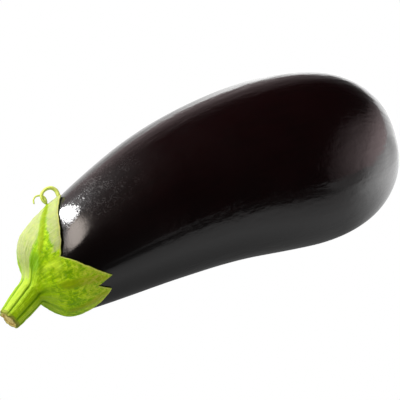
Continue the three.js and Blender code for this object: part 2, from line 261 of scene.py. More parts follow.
def stem_lean(along):
    """Angle between the stem and the axis: the arctangent of how steeply its middle leaves it there."""
    run = LEAN_FROM - along
    return np.arctan(LEAN_SLOPE * run * (run + 2 * LEAN_EASE) / (run + LEAN_EASE) ** 2)


def placed_on_stem(along, radius, angle):
    """The same for a ring square to the stem, whose middle leaves the axis by run squared over run
    plus an ease, towards the front."""
    run = LEAN_FROM - along
    shift = LEAN_SLOPE * run * run / (run + LEAN_EASE)
    lean = stem_lean(along)
    side = radius * np.sin(angle)
    return placed(along + side * np.sin(lean), radius * np.cos(angle), shift + side * np.cos(lean))


def lumps(angle, reach, seed, around, length):
    """Gentle random relief from -1 to 1: random heights on a lattice with a number of cells around the
    axis and a cell length along it, mixed smoothly between the four nearest."""
    heights = np.random.default_rng(seed).uniform(-1, 1, (LATTICE_ROWS, around))
    u, v = np.broadcast_arrays(angle / (2 * np.pi) * around, reach / length)
    column, row = np.floor(u).astype(int), np.floor(v).astype(int)
    across, down = smooth(u - column, 0, 1), smooth(v - row, 0, 1)
    left, right = column % around, (column + 1) % around
    near, far = (blend(heights[at % LATTICE_ROWS, left], heights[at % LATTICE_ROWS, right], across)
                 for at in (row, row + 1))
    return blend(near, far, down)


def layered(angle, reach, *layers):
    """Sum of random reliefs: each layer's height, seed, cells round and cell length."""
    return sum(height * lumps(angle, reach, *cells) for height, *cells in layers)


def neck_dip(angle, reach):
    """How far the skin draws in beside the torn lobe: a parabola, fading round the neck."""
    by_lobe = bell(folded(angle), 40)
    return by_lobe * np.clip(NECK_DIP_REACH - reach, 0, 50) ** 2 / (2 * NECK_DIP_RADIUS)


def front_flare(angle):
    """1 at the front of the stem and fading round it, where its foot spreads widest over the sheet."""
    return bell(np.degrees(angle) - 78, 42)


def folded(angle):
    """The angle in degrees, from -180 to 180."""
    return (np.degrees(angle) + 180) % 360 - 180


def groove(angle):
    """Depth of the stem's grooves in mm: each falls off as e to the angle from its middle squared."""
    depth = 0
    for middle, width, deep in GROOVES:
        aside = folded(angle - radians(middle))
        depth = np.maximum(depth, deep * bell(aside, width))
    return depth


def lit_side_tone(angle):
    """Painted light on the stem by the angle round it: 1 on its upper ridge, where the light falls,
    less on the next one, and 0 on those left in shade.
    """
    degrees = folded(angle)
    return bell(degrees + 4, 28) + 0.55 * bell(degrees - 90, 16)


# Meshes

def closed_mesh(name, points, attributes, poles=(True, True)):
    """Object from a grid of points in mm, rows by columns, joined up round the columns. An end row
    that is a pole becomes one vertex with a fan of triangles, and at least one end row is a pole.
    Attributes are given per grid point."""
    rows, columns = points.shape[:2]
    flat = points.reshape(-1, 3)
    number = np.arange(rows * columns).reshape(rows, columns)
    body = number[int(poles[0]):rows - int(poles[1])]
    row, below = body[:-1], body[1:]
    quads = np.stack([row, below, np.roll(below, -1, 1), np.roll(row, -1, 1)], -1).reshape(-1, 4)
    fans = []
    if poles[0]:
        fans.append(np.stack([np.full(columns, number[0, 0]), body[0], np.roll(body[0], -1)], -1))
    if poles[1]:
        fans.append(np.stack([np.full(columns, number[-1, 0]), np.roll(body[-1], -1), body[-1]], -1))
    fans = np.concatenate(fans)
    used = np.unique(np.concatenate([quads.ravel(), fans.ravel()]))
    renumber = np.zeros(rows * columns, int)
    renumber[used] = np.arange(len(used))
    corners = renumber[np.concatenate([quads.ravel(), fans.ravel()])]
    totals = np.concatenate([np.full(len(quads), 4), np.full(len(fans), 3)])
    mesh = bpy.data.meshes.new(name)
    mesh.vertices.add(len(used))
    mesh.vertices.foreach_set("co", (flat[used] * MILLIMETRE).ravel())
    mesh.loops.add(len(corners))
    mesh.loops.foreach_set("vertex_index", corners)
    mesh.polygons.add(len(totals))
    mesh.polygons.foreach_set("loop_start", np.concatenate([[0], np.cumsum(totals)[:-1]]))
    mesh.polygons.foreach_set("loop_total", totals)
    mesh.update(calc_edges=True)
    mesh.shade_smooth()
    for key, values in attributes.items():
        kind, field = ("FLOAT_VECTOR", "vector") if values.ndim == 3 else ("FLOAT", "value")
        values = np.broadcast_to(values, (rows, columns) + values.shape[2:])
        store = mesh.attributes.new(key, kind, "POINT")
        store.data.foreach_set(field, values.reshape(rows * columns, -1)[used].ravel())
    if mesh.validate():
        raise RuntimeError(f"{name}: the mesh needed mending")
    piece = bpy.data.objects.new(name, mesh)
    bpy.context.scene.collection.objects.link(piece)
    return piece


def lay(angle, reach, radius=20.0):
    """Coordinates that follow the surface without a seam: a circle of a fixed radius round the axis,
    and the reach along it."""
    parts = (radius * np.cos(angle), radius * np.sin(angle), reach)
    return np.stack(np.broadcast_arrays(*parts), -1)


def finish_piece(piece, node, material):
    """Gives a piece its material and its body, and hides the imported node that it stands for."""
    piece.data.materials.append(material)
    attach(piece, "root")
    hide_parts(node)


# Materials

GREEN_GLOSS = {"Specular_IOR_Level": 0.3, "Specular_Tint": (0.75, 0.9, 0.05, 1.0)}


class Finish:
    """A material under construction: short calls for the nodes that the finishes here need."""

    def __init__(self, name, tree=None):
        if tree is None:
            self.material = bpy.data.materials.new(name)
            self.material.use_nodes = True
            tree = self.material.node_tree
        self.tree = tree
        self.shader = tree.nodes.get("Principled BSDF")

    def add(self, kind, inputs=(), **settings):
        """A new node with its settings; each input is a value or another node's output."""
        node = self.tree.nodes.new("ShaderNode" + kind)
        for key, value in settings.items():
            setattr(node, key, value)
        for key, value in dict(inputs).items():
            self.set(node.inputs[key], value)
        return node

    def set(self, socket, value):
        if isinstance(value, bpy.types.NodeSocket):
            self.tree.links.new(value, socket)
        else:
            socket.default_value = value

    def attribute(self, name, vector=False):
        """One of the values that the mesh holds for each point."""
        node = self.add("Attribute", attribute_name=name)
        return node.outputs["Vector" if vector else "Fac"]

    def stretched(self, coordinates, scale):
        """Coordinates times a scale of their own along each axis."""
        return self.add("Mapping", {"Vector": coordinates, "Scale": scale}).outputs["Vector"]

    def noise(self, coordinates, scale, detail, roughness, distortion=0.0):
        """Random pattern from 0 to 1."""
        node = self.add("TexNoise", {
            "Vector": coordinates, "Scale": scale, "Detail": detail, "Roughness": roughness,
            "Distortion": distortion,
        })
        return node.outputs["Fac"]

    def band(self, value, low, high, start=0.0, end=1.0):
        """From start at low to end at high, eased at both, and level beyond them."""
        node = self.add("MapRange", {
            "Value": value, "From Min": low, "From Max": high, "To Min": start, "To Max": end,
        }, interpolation_type="SMOOTHSTEP")
        return node.outputs["Result"]

    def sum(self, a, b, operation="ADD"):
        """The sum of two numbers, or what another operation makes of them."""
        return self.add("Math", {0: a, 1: b}, operation=operation).outputs[0]

    def times(self, a, b):
        return self.sum(a, b, "MULTIPLY")

    def mix(self, part, low, high, kind="RGBA"):
        """Mix of two colours by part; numbers have sockets of their own on the same node."""
        first, result = {"FLOAT": (2, 0), "RGBA": (6, 2)}[kind]
        node = self.add("Mix", {"Factor": part, first: low, first + 1: high}, data_type=kind)
        return node.outputs[result]

    def mix_value(self, part, low, high):
        return self.mix(part, low, high, "FLOAT")

    def over(self, base, part, tone):
        """The base with a part of another colour over it."""
        return self.mix(part, base, colour(tone))

    def bump(self, height, distance, strength, normal=None):
        """Normal tilted by a height, where a height of 1 stands for the distance in metres."""
        inputs = {"Height": height, "Distance": distance, "Strength": strength}
        if normal is not None:
            inputs["Normal"] = normal
        return self.add("Bump", inputs).outputs["Normal"]

    def shade(self, **sockets):
        """Sets the shader's inputs, whose names are given with low lines for spaces."""
        for key, value in sockets.items():
            self.set(self.shader.inputs[key.replace("_", " ")], value)


def colour(value):
    """A colour with full opacity, as sockets take it."""
    return (*value, 1.0)


def skin_finish(look):
    """Waxy, nearly black skin: a soft lobe under a clear wax coat, a burgundy tint painted lighter on
    the upper side as light falling from above, fine pores with pale specks at the neck painted as
    glints, faint lengthwise ripples and a corky scar."""
    f = Finish("waxy eggplant skin")
    place = f.add("TexCoord").outputs["Object"]
    along = f.attribute("lay", vector=True)
    neck = f.attribute("neck")
    # painted light: the burgundy tint is painted stronger and lighter towards the top, where light
    # falls from above
    blush = f.attribute("blush")
    scar = f.attribute("scar")
    mottle = f.noise(place, 60, 4, 0.6)
    streaks = f.noise(f.stretched(along, (1.4, 1.4, 0.05)), 1.0, 3, 0.6)
    tint = f.times(blush, f.band(f.sum(mottle, streaks), 0.75, 1.3, 0.7, 1.25))
    base = f.mix(tint, colour(look.skin_colour), colour(look.burgundy_lit_top_colour))
    base = f.over(base, scar, look.scar_colour)
    # fine pores for the bump; the same pattern places the painted glints
    pores = f.noise(place, 1250, 2, 0.7)
    patchy = f.band(f.noise(place, 120, 3, 0.6), 0.42, 0.6, 0.12, 1)
    # where the pores' bump is strongest, and where the painted glints lie
    grain_and_glint_mask = f.times(patchy, f.attribute("grain"))
    # painted highlight: pale specks that stand in for glints of light on the pores
    specks = f.times(f.band(pores, 0.47, 0.7), grain_and_glint_mask)
    base = f.over(base, f.times(specks, look.grain), look.glint_colour)
    ripples = f.noise(f.stretched(along, (0.55, 0.55, 0.09)), 1.0, 2, 0.5)
    uneven = f.sum(f.times(ripples, 0.6), f.times(f.noise(place, 110, 4, 0.6, 0.6), 0.6))
    uneven = f.times(uneven, f.band(neck, 0, 1, 1.8, 0.38))
    rippled = f.bump(uneven, 0.0004, look.ripple_strength)
    normal = f.bump(f.times(f.sum(pores, -0.5), f.sum(0.3, grain_and_glint_mask)), 0.00007, 1.0, rippled)
    dull = f.band(f.noise(place, 45, 4, 0.6), 0.35, 0.7, 0.0, 0.06)
    rough = f.sum(f.sum(dull, f.times(neck, 0.14)), look.skin_roughness)
    f.shade(
        Base_Color=base, Roughness=f.mix_value(scar, rough, 0.7), Normal=normal,
        Specular_IOR_Level=0.08, Coat_Weight=look.wax, Coat_Roughness=0.1, Coat_IOR=1.5,
        Coat_Normal=normal,
    )
    return f.material


def stalk_colours(f, look, place):
    """Colour of pale fibres and light blotches, with painted light on the upper ridges and painted
    shade in the grooves, its relief, and a fine speckle."""
    fibre = f.attribute("fibre", vector=True)
    shaded_groove = f.attribute("groove")
    fibres = f.noise(f.stretched(fibre, (3.6, 3.6, 0.22)), 1.0, 4, 0.65, 0.3)
    blotches = f.noise(place, 420, 4, 0.65)
    # painted light: the fibres' pale streaks, with the stem's upper side made lighter where light falls
    fibres_and_lit_side = f.sum(f.times(fibres, 0.75), f.times(f.attribute("tone"), 0.25))
    base = f.mix(f.band(fibres_and_lit_side, 0.36, 0.72), colour(look.stalk_colour), colour(look.fibre_and_lit_ridge_colour))
    base = f.over(base, f.times(f.band(blotches, 0.5, 0.7), 0.5), look.light_colour)
    # painted shade: dark green in the grooves, where shade falls
    base = f.over(base, f.times(f.band(shaded_groove, 0.25, 0.8), 0.9), look.groove_shade_colour)
    return base, f.sum(fibres, f.times(blotches, 0.7)), f.sum(blotches, fibres)


def leaf_finish(look):
    """Leafy green sheet: mottled, deep at the stem and pale at the torn lobe's margins, with streaks
    that fan out with the lobes, darker midribs, light knots, pale edges and tan tips, over a puckered
    relief. The stalk's colours run on over its middle."""
    f = Finish("leafy calyx")
    place = f.add("TexCoord").outputs["Object"]
    fan = f.attribute("lay", vector=True)
    rim = f.attribute("from_rim")
    pale = f.attribute("pale")
    tip = f.attribute("tip")
    streaks = f.noise(f.stretched(fan, (3.2, 3.2, 0.2)), 1.0, 5, 0.65, 0.4)
    fine = f.noise(f.stretched(fan, (6.5, 6.5, 0.4)), 1.0, 3, 0.6)
    mottle = f.noise(place, 380, 5, 0.66, 0.8)
    blotches = f.noise(place, 170, 4, 0.6, 0.4)
    base = f.mix(f.band(f.sum(f.times(mottle, 0.65), f.times(streaks, 0.35)), 0.41, 0.58),
                 colour(look.deep_colour), colour(look.leaf_colour))
    lights = f.times(f.band(mottle, 0.52, 0.63), f.band(blotches, 0.4, 0.6, 0.1, 0.75))
    base = f.over(base, lights, look.light_colour)
    flecks = f.times(f.band(f.noise(place, 1250, 3, 0.65), 0.56, 0.7), f.band(blotches, 0.45, 0.6))
    base = f.over(base, f.times(flecks, 0.2), look.pale_colour)
    patches = f.sum(f.band(fine, 0.3, 0.7, -0.4, 0.2), f.band(streaks, 0.3, 0.7, -0.4, 0.2))
    paling = f.sum(pale, patches)
    base = f.over(base, f.times(f.band(paling, 0.0, 1.0), 0.92), look.pale_colour)
    rib = f.band(f.sum(f.attribute("midrib"), f.times(mottle, 0.6)), 0.45, 1.0)
    base = f.over(base, f.times(rib, 0.85), look.rib_colour)
    base = f.over(base, f.times(f.attribute("knots"), 0.8), look.light_colour)
    tan = f.times(tip, f.band(f.sum(mottle, fine), 0.85, 1.2))
    base = f.over(base, f.times(tan, 0.6), look.tan_colour)
    edge = f.band(f.sum(rim, f.band(fine, 0.3, 0.7, -0.3, 0.3)), 1.0, 0.2)
    base = f.over(base, f.times(edge, 0.7), look.edge_colour)
    # the stalk's colours run on here, with painted light on its upper ridge and painted shade in its
    # grooves
    stalk, stalk_relief, _ = stalk_colours(f, look, place)
    on_stalk = f.times(f.attribute("stalk"), f.band(pale, 0.2, 1, 1, 0.3))
    base = f.mix(on_stalk, base, stalk)
    deep = f.band(f.sum(f.attribute("deep"), f.times(mottle, 0.8)), 0.7, 1.15)
    base = f.over(base, f.times(deep, 0.9), look.deep_colour)
    relief = f.sum(f.times(streaks, 0.7), f.sum(f.times(fine, 0.4), f.times(mottle, 0.9)))
    normal = f.bump(f.mix_value(on_stalk, relief, stalk_relief), 0.0005, look.leaf_relief)
    normal = f.bump(f.noise(place, 2600, 2, 0.5), 0.00008, 0.6, normal)
    f.shade(
        Base_Color=base, Roughness=f.band(streaks, 0.3, 0.7, 0.42, 0.6), Normal=normal,
        Subsurface_Weight=0.12, Subsurface_Scale=0.0012, Subsurface_Radius=(0.6, 1.0, 0.1),
        **GREEN_GLOSS,
    )
    return f.material


def curl_finish(look):
    """Dry, pale yellow green strip with faint streaks along it."""
    f = Finish("dry curl")
    streaks = f.noise(f.stretched(f.attribute("lay", vector=True), (1, 1, 0.2)), 1.0, 3, 0.6)
    base = f.mix(f.band(streaks, 0.35, 0.65), colour(look.curl_colour), colour(look.curl_streak))
    f.shade(Base_Color=base, Roughness=0.6, Specular_IOR_Level=0.2)
    return f.material


def stalk_finish(look):
    """Ribbed stalk, its cut face creamy with a darker ring and a brown corky edge."""
    f = Finish("ribbed stalk")
    place = f.add("TexCoord").outputs["Object"]
    cut = f.attribute("cut")
    base, relief, speckle = stalk_colours(f, look, place)
    fleshy = f.mix(f.band(f.sum(speckle, f.times(f.attribute("ring"), 0.5)), 0.9, 1.5),
                   colour(look.cut_colour), colour(look.cut_ring_colour))
    base = f.mix(cut, base, fleshy)
    corky = f.times(f.attribute("cork"), f.band(speckle, 0.6, 1.05, 0.4, 1))
    base = f.over(base, corky, look.cork_colour)
    normal = f.bump(relief, 0.0005, look.leaf_relief)
    normal = f.bump(f.noise(place, 2400, 2, 0.5), 0.0001, 0.7, normal)
    f.shade(
        Base_Color=base, Roughness=f.mix_value(cut, 0.52, 0.85), Normal=normal,
        Subsurface_Weight=0.1, Subsurface_Scale=0.0015, Subsurface_Radius=(0.7, 1.0, 0.2),
        **GREEN_GLOSS,
    )
    return f.material


# Settings

def number_setting(name, description, default, low=0, **limits):
    return FloatProperty(name=name, description=description, default=default, min=low, **limits)


def share_setting(name, description, default, low=0):
    return number_setting(name, description, default, low, max=1, subtype="FACTOR")


def colour_setting(name, description, default):
    return FloatVectorProperty(name=name, description=description, default=default, size=3,
                               subtype="COLOR", min=0, max=1)


class SkinLook(bpy.types.PropertyGroup):
    """Colours and surface of the fruit's skin."""
    skin_colour: colour_setting("Skin", "The skin's own colour", (0.0009, 0.0004, 0.0004))
    # painted light: the burgundy colour painted onto the upper side, lighter where light falls from
    # above
    burgundy_lit_top_colour: colour_setting("Blush", "Burgundy of the upper side", (0.0048, 0.0007, 0.0009))
    scar_colour: colour_setting("Scar", "Corky scar at the blossom end", (0.2, 0.11, 0.05))
    skin_roughness: share_setting("Roughness", "Softness of the skin's gloss", 0.3, 0.02)
    wax: share_setting("Wax", "How much clear wax lies on the skin", 0.9)
    # painted highlight: colour of the fine specks painted on the neck as glints
    glint_colour: colour_setting("Specks", "Fine pale specks on the neck", (0.08, 0.075, 0.075))
    # how strong the painted glints are
    grain: share_setting("Grain", "How strong the fine specks are", 1.0)
    ripple_strength: share_setting("Ripples", "Strength of the lengthwise ripples", 0.4)
    unevenness: number_setting("Unevenness", "Height of the skin's gentle lumps", 0.0002, max=0.001,
                               unit="LENGTH", precision=5)


class GreenLook(bpy.types.PropertyGroup):
    """Colours and surface of the calyx, its curls and the stem."""
    leaf_colour: colour_setting("Leaf", "Main green of the calyx", (0.4, 0.62, 0.002))
    deep_colour: colour_setting("Deep green", "Darker parts of the calyx", (0.16, 0.35, 0.001))
    light_colour: colour_setting("Light green", "Lighter blotches", (0.55, 0.74, 0.04))
    pale_colour: colour_setting("Pale", "Pale green near the lobes' margins", (0.42, 0.44, 0.205))
    rib_colour: colour_setting("Midrib", "The lobes' midribs", (0.24, 0.34, 0.002))
    tan_colour: colour_setting("Tan", "Dry tint of the lobes' tips", (0.52, 0.44, 0.08))
    edge_colour: colour_setting("Edge", "The calyx's thin dry edge", (0.62, 0.58, 0.16))
    curl_colour: colour_setting("Curls", "The curled strips", (0.72, 0.76, 0.2))
    curl_streak: colour_setting("Curl streaks", "Greener streaks of the curls", (0.5, 0.62, 0.08))
    stalk_colour: colour_setting("Stalk", "Main green of the stem", (0.27, 0.45, 0.002))
    # pale green of the stem's fibres, also painted on its upper ridges as light
    fibre_and_lit_ridge_colour: colour_setting("Ridges", "The stem's pale ridges", (0.48, 0.66, 0.06))
    # painted shade: the dark green painted into the stem's grooves
    groove_shade_colour: colour_setting("Grooves", "The stem's dark grooves", (0.1, 0.24, 0.001))
    cut_colour: colour_setting("Cut", "The stem's cut face", (0.88, 0.73, 0.28))
    cut_ring_colour: colour_setting("Cut ring", "Darker ring on the cut face", (0.5, 0.34, 0.1))
    cork_colour: colour_setting("Cork", "Corky edge of the cut face", (0.16, 0.1, 0.04))
    leaf_relief: share_setting("Relief", "Strength of the veins and puckers", 0.7)


class StageLook(bpy.types.PropertyGroup):
    """The floor, the lights and the camera."""
    floor_colour: colour_setting("Floor", "The pale floor", WHITE)
    floor_radius: number_setting("Floor radius", "Radius of the floor", 2.5, 0.5, unit="LENGTH")
    key_light: number_setting("Key light", "Radiance of the strip behind the neck", 130)
    top_light: number_setting("Top light", "Radiance of the strip over the neck", 9.5)
    fill_light: number_setting("Fill light", "Radiance of the panel at the stem's side", 1.3)
    right_glow: number_setting("Right glow", "Radiance of the wall and floor at the right", 2.4)
    behind_glow: number_setting("Behind", "Radiance of the floor behind", 0.95)
    back_glow: number_setting("Back glow", "Radiance of the wall behind", 0.7)
    bounce: number_setting("Bounce", "Soft light on matt surfaces from floor and room", 0.76)
    ambient: number_setting("Ambient", "Radiance of the rest of the room", 0.012)
    warm: colour_setting("Top tint", "Tint of the top light", (1.0, 0.89, 0.81))
    rosy: colour_setting("Room tint", "Tint of the room's glow on the skin", (1.0, 0.79, 0.8))
    lens: number_setting("Lens", "Focal length of the camera", 135.72, 20, unit="CAMERA")


# Operators

class EGGPLANT_OT_skin(bpy.types.Operator):
    """The meridian turned round the bent axis, with a dimple and scar at the blossom end, gentle lumps
    and a flat spot where it rests"""
    bl_idname = "eggplant.skin"
    bl_label = "Skin"

    def execute(self, context):
        look = context.scene.eggplant_skin
        rows, columns = 330, 288
        part = np.linspace(0, 1, rows)
        reach = FULL_REACH * (part - 0.055 * np.sin(2 * np.pi * part))[:, None]
        angle = np.linspace(0, 2 * np.pi, columns, endpoint=False)[None]
        radius = off_skin(reach, 0)[1]
        at_end = smooth(reach, FULL_REACH - 25, FULL_REACH - 10)
        scar = SCAR_HEIGHT * np.exp(-(radius / SCAR_RADIUS) ** 4)
        dimple = scar - DIMPLE_DEPTH * bell(radius, DIMPLE_RADIUS)
        pucker = 0.12 * np.cos(5 * angle + np.sin(3 * angle)) * bell(radius - 4, 3)
        open_skin = smooth(radius, 3, 16)
        dip = -neck_dip(angle, reach)
        uneven = look.unevenness / MILLIMETRE * open_skin * blend(0.3, 1, smooth(reach, 50, 90))
        uneven = uneven * layered(angle, reach, (1, 3, 7, 31), (0.3, 4, 17, 13))
        height = at_end * (dimple + pucker) + uneven + dip
        along, across = off_skin(reach, height)
        across = np.where((part == 0) | (part == 1), 0, across.T).T
        points = placed_round(along, across, angle)
        points[..., 2] = 0.5 * (points[..., 2] + np.hypot(points[..., 2], GROUND_EASE))
        piece = closed_mesh("eggplant_skin", points, {
            "lay": lay(angle, reach),
            "neck": 1 - smooth(reach, 45, 110),
            # where the neck's grain bump is strongest and where its glints are painted as pale specks
            "grain": bell(reach - 60, 17) * bell(folded(angle) + 10, 28),
            # painted light: 0 low down and 1 on top, where light falls from above
            "blush": smooth(points[..., 2], 30, 75),
            "scar": at_end * (1 - smooth(radius + 0.3 * np.cos(4 * angle), 1.2, 2.4)),
        })
        finish_piece(piece, "fruit", skin_finish(look))
        return {"FINISHED"}


def rim_columns():
    """Angle and reach of the calyx's rim, column by column. Between two corners the reach is a
    straight mix, with a wave of one sine and a hollow of half a sine. The torn tip is ragged."""
    angles, reaches = [], []
    for (angle, reach, steps), (next_angle, next_reach, _) in zip(RIM[:-1], RIM[1:]):
        part = np.arange(int(steps) * COLUMNS_A_STEP) / (steps * COLUMNS_A_STEP)
        wave = RIM_WAVE * np.sin(2 * np.pi * part) - RIM_HOLLOW * np.sin(np.pi * part)
        angles.append(blend(angle, next_angle, part))
        reaches.append(blend(reach, next_reach, part + wave))
    angles, reaches = np.radians(np.concatenate(angles)), np.concatenate(reaches)
    degrees = np.degrees(angles)
    torn = smooth(degrees, -52, -50) * (1 - smooth(degrees, -35, -32))
    crinkle = layered(angles, 0 * angles, (0.22, 11, 90, 5), (0.12, 12, 260, 5))
    ragged = layered(angles, 0 * angles, (0.9, 13, 140, 5), (0.5, 14, 330, 5))
    return angles, reaches + crinkle + torn * ragged


def midrib_part(angle, reach):
    """1 on a midrib and fading beside it as a power of e of the distance squared."""
    radius = off_skin(reach, 0)[1]
    part = 0
    for tip_angle, tip_reach, lean in MIDRIBS:
        centre = np.radians(tip_angle + lean * (tip_reach - reach))
        part = np.maximum(part, bell((angle - centre) * radius, MIDRIB_WIDTH))
    return part


def stand_off(angle, reach):
    """How far the sheet stands off: the torn lobe's far side does, and its rim follows the dip."""
    degrees = -np.degrees(angle)
    far_side = smooth(degrees, 0, 45) * (1 - smooth(degrees, 75, 105))
    dip = neck_dip(angle, reach) * smooth(reach, 34, 42)
    return STAND_OFF * far_side * smooth(reach, 24, 42) - dip


def seam_part(angle, reach):
    """The knotted seam from the front notch towards the stem."""
    radius = off_skin(reach, 0)[1]
    wander = 0.9 * lumps(0 * reach, reach, 21, 3, 4)
    aside = (angle - radians(NOTCH)) * radius - wander
    knots = 0.6 + 0.4 * lumps(0 * reach, reach, 22, 3, 1.6)
    return bell(aside, 1.1) * knots * smooth(reach, 16, 20) * (1 - smooth(reach, 26, 28))


def calyx_foot(angle, reach, rim):
    """Height of the sheet's inner face off the skin: the gap narrows at the rim."""
    return GAP + stand_off(angle, reach) - RIM_CLOSER * smooth(reach, rim - 7, rim)


def calyx_height(angle, reach, rim):
    """Height of the sheet's outer face off the skin: the gap, a thickness that grows from the rim, the
    midribs, the grooves that run on from the stem, the seam, and fine veins and puckers."""
    part = (reach - DOME_REACH) / (rim - DOME_REACH)
    sheet = blend(SHEET_AT_RIM, SHEET_AT_DOME, np.maximum(1 - part, 0) ** 1.5)
    thickness = blend(RIM_THICKNESS, sheet, smooth(rim - reach, 0, RIM_WIDTH))
    rib = MIDRIB_HEIGHT * midrib_part(angle, reach) * (1 - smooth(reach, rim * 0.8, rim))
    furrow = 0.6 * groove(angle) * bell(np.maximum(reach - DOME_REACH, 0), 7)
    inside = smooth(rim - reach, 0.3, 3)
    veins = layered(angle, reach, (0.13, 31, 110, 9), (0.07, 32, 230, 7))
    puckers = layered(angle, reach, (0.2, 33, 26, 4.2), (0.09, 34, 62, 1.9))
    seam = 0.12 * seam_part(angle, reach)
    foot = calyx_foot(angle, reach, rim)
    return foot + thickness + rib - furrow + seam + inside * (veins + puckers)


def fillet(angle, boss, dome_reach, rim, part):
    """Bezier curves from the boss's edge to the dome. They leave along the stem, for a part of the way
    down to the sheet, and arrive along the sheet."""
    foot = placed_on_stem(BOSS_ALONG + 0 * angle, boss, angle)
    down = (placed_on_stem(BOSS_ALONG + 0.1 + 0 * angle, boss, angle) - foot) / 0.1
    depth = -BOSS_ALONG - boss * np.sin(angle) * np.sin(stem_lean(BOSS_ALONG)) - 0.8
    edge = placed_round(*off_skin(dome_reach, calyx_height(angle, dome_reach, rim)), angle)
    beyond = dome_reach + 0.5
    slope = placed_round(*off_skin(beyond, calyx_height(angle, beyond, rim)), angle) - edge
    slope = slope / np.linalg.norm(slope, axis=-1, keepdims=True)
    t = part[..., None]
    leaving = foot + down * (FILLET_AT_BOSS * depth)[..., None]
    arriving = edge - slope * FILLET_AT_DOME
    return ((1 - t) ** 3 * foot + 3 * (1 - t) ** 2 * t * leaving + 3 * (1 - t) * t * t * arriving
            + t ** 3 * edge)


class EGGPLANT_OT_calyx(bpy.types.Operator):
    """The lobed sheet in one closed grid: the middle of the boss, a fillet from the boss to the dome,
    the outer face out to the rim, a rolled edge, and the inner face back to the pole"""
    bl_idname = "eggplant.calyx"
    bl_label = "Calyx"

    def execute(self, context):
        angle, rim = (values[None] for values in rim_columns())
        boss = BOSS_RADIUS - groove(angle)
        # the boss's end face, under the stem's foot
        part = np.array([[0], [0.6], [0.99]])
        end_face = placed_on_stem(BOSS_ALONG + 0 * angle * part, boss * part, angle)
        # the fillet from the boss to the dome
        part = np.concatenate([[0, 0.003, 0.01], np.linspace(0.02, 1, 23)[:-1]])[:, None]
        dome_reach = DOME_REACH + DOME_SPREAD * front_flare(angle)
        dome = fillet(angle, boss, dome_reach, rim, part)
        # the outer face, the rolled edge and the inner face
        part = np.linspace(0, 1, 92)[:, None]
        outer_reach = blend(dome_reach, rim - RIM_ROLL, part ** 0.95)
        outer = placed_round(*off_skin(outer_reach, calyx_height(angle, outer_reach, rim)), angle)
        turn = np.linspace(0, np.pi, 8)[1:-1, None]
        rim_top = calyx_height(angle, rim - RIM_ROLL, rim)
        rim_foot = calyx_foot(angle, rim - RIM_ROLL, rim)
        roll_reach = rim - RIM_ROLL + RIM_ROLL * np.sin(turn)
        roll_height = blend(rim_foot, rim_top, 0.5 + 0.5 * np.cos(turn))
        roll = placed_round(*off_skin(roll_reach, roll_height), angle)
        part = np.linspace(1, 0, 30)[:, None]
        inner_reach = (rim - RIM_ROLL) * part
        along, radius = off_skin(inner_reach, calyx_foot(angle, inner_reach, rim))
        inner = placed_round(along, np.where(part == 0, 0, radius), angle)
        grids = (end_face, dome, outer, roll, inner)
        columns = angle.shape[1]
        points = np.concatenate([np.broadcast_to(grid, (len(grid), columns, 3)) for grid in grids])
        points[..., 2] = np.maximum(points[..., 2], LOWEST_SHEET)
        # for the colours: the reach row by row, and 1 on the outside and 0 on the inside
        on_boss = np.full((len(end_face), columns), BOSS_REACH)
        on_dome = blend(BOSS_REACH, dome_reach, np.linspace(0, 1, len(dome) + 1)[:-1, None])
        reach = np.concatenate([on_boss, on_dome, outer_reach, roll_reach, inner_reach])
        into = smooth(reach, 8, 27)
        outside = np.concatenate([np.ones(len(end_face) + len(dome) + len(outer)),
                                  np.linspace(1, 0, len(roll)), np.zeros(len(inner))])[:, None]
        degrees = np.degrees(angle)
        torn_lobe = smooth(degrees, -75, -50) * (1 - smooth(degrees, 22, 32))
        fork_lobe = smooth(degrees, 36, 60) * (1 - smooth(degrees, 118, 140))
        from_rim = rim - reach
        rib_part = midrib_part(angle, reach)
        stem_part = outside * (1 - smooth(reach, 7, 20 + 5 * front_flare(angle)))
        tip_angle, tip_reach, lean = MIDRIBS[0]
        border = np.minimum(3 - 0.3 * (reach - 15), tip_angle + lean * (tip_reach - reach) + 2)
        left_side = smooth(border - degrees, -4, 5) * smooth(reach, 4, 9)
        upper = smooth(reach + 2.5 * lumps(angle, reach, 61, 30, 3), 22, 27)
        strip = blend(1.5, 7, smooth(reach, 26, 36))
        by_rim = upper * (1 - smooth(from_rim + 2 * lumps(angle, reach, 62, 60, 3) - strip, 0, 6))
        pale = torn_lobe * np.maximum(left_side, by_rim) * (1 - 0.9 * rib_part)
        knots = bell(degrees - 44, 11) * bell(reach - 25, 3)
        knots = knots * smooth(lumps(angle, reach, 63, 44, 3.5), -0.5, 0.3)
        knots = knots + bell(degrees - 117, 9) * bell(reach - 12, 5)
        piece = closed_mesh("calyx_sheet", points, {
            "lay": lay(angle, reach),
            "fibre": lay(angle, reach - BOSS_REACH, STEM_LAY_RADIUS),
            # tone: painted light on the stalk's upper ridges
            "stalk": stem_part, "tone": lit_side_tone(angle),
            "from_rim": from_rim + 4 * (1 - outside),
            "midrib": outside * rib_part * smooth(reach, 18, 26) * (1 - smooth(reach, rim * 0.9, rim)),
            # groove: where painted shade darkens the furrows that run on from the stem
            "groove": outside * groove(angle) / 0.8 * (1 - into),
            "knots": outside * np.maximum(np.sqrt(seam_part(angle, reach)), knots),
            "pale": (1 - outside) * 0.7 + outside * pale,
            "tip": outside * fork_lobe * smooth(reach, 25, 38),
            "deep": outside * bell(degrees - 14, 17) * bell(reach - 16.5, 6),
        })
        finish_piece(piece, "calyx", leaf_finish(context.scene.eggplant_green))
        return {"FINISHED"}


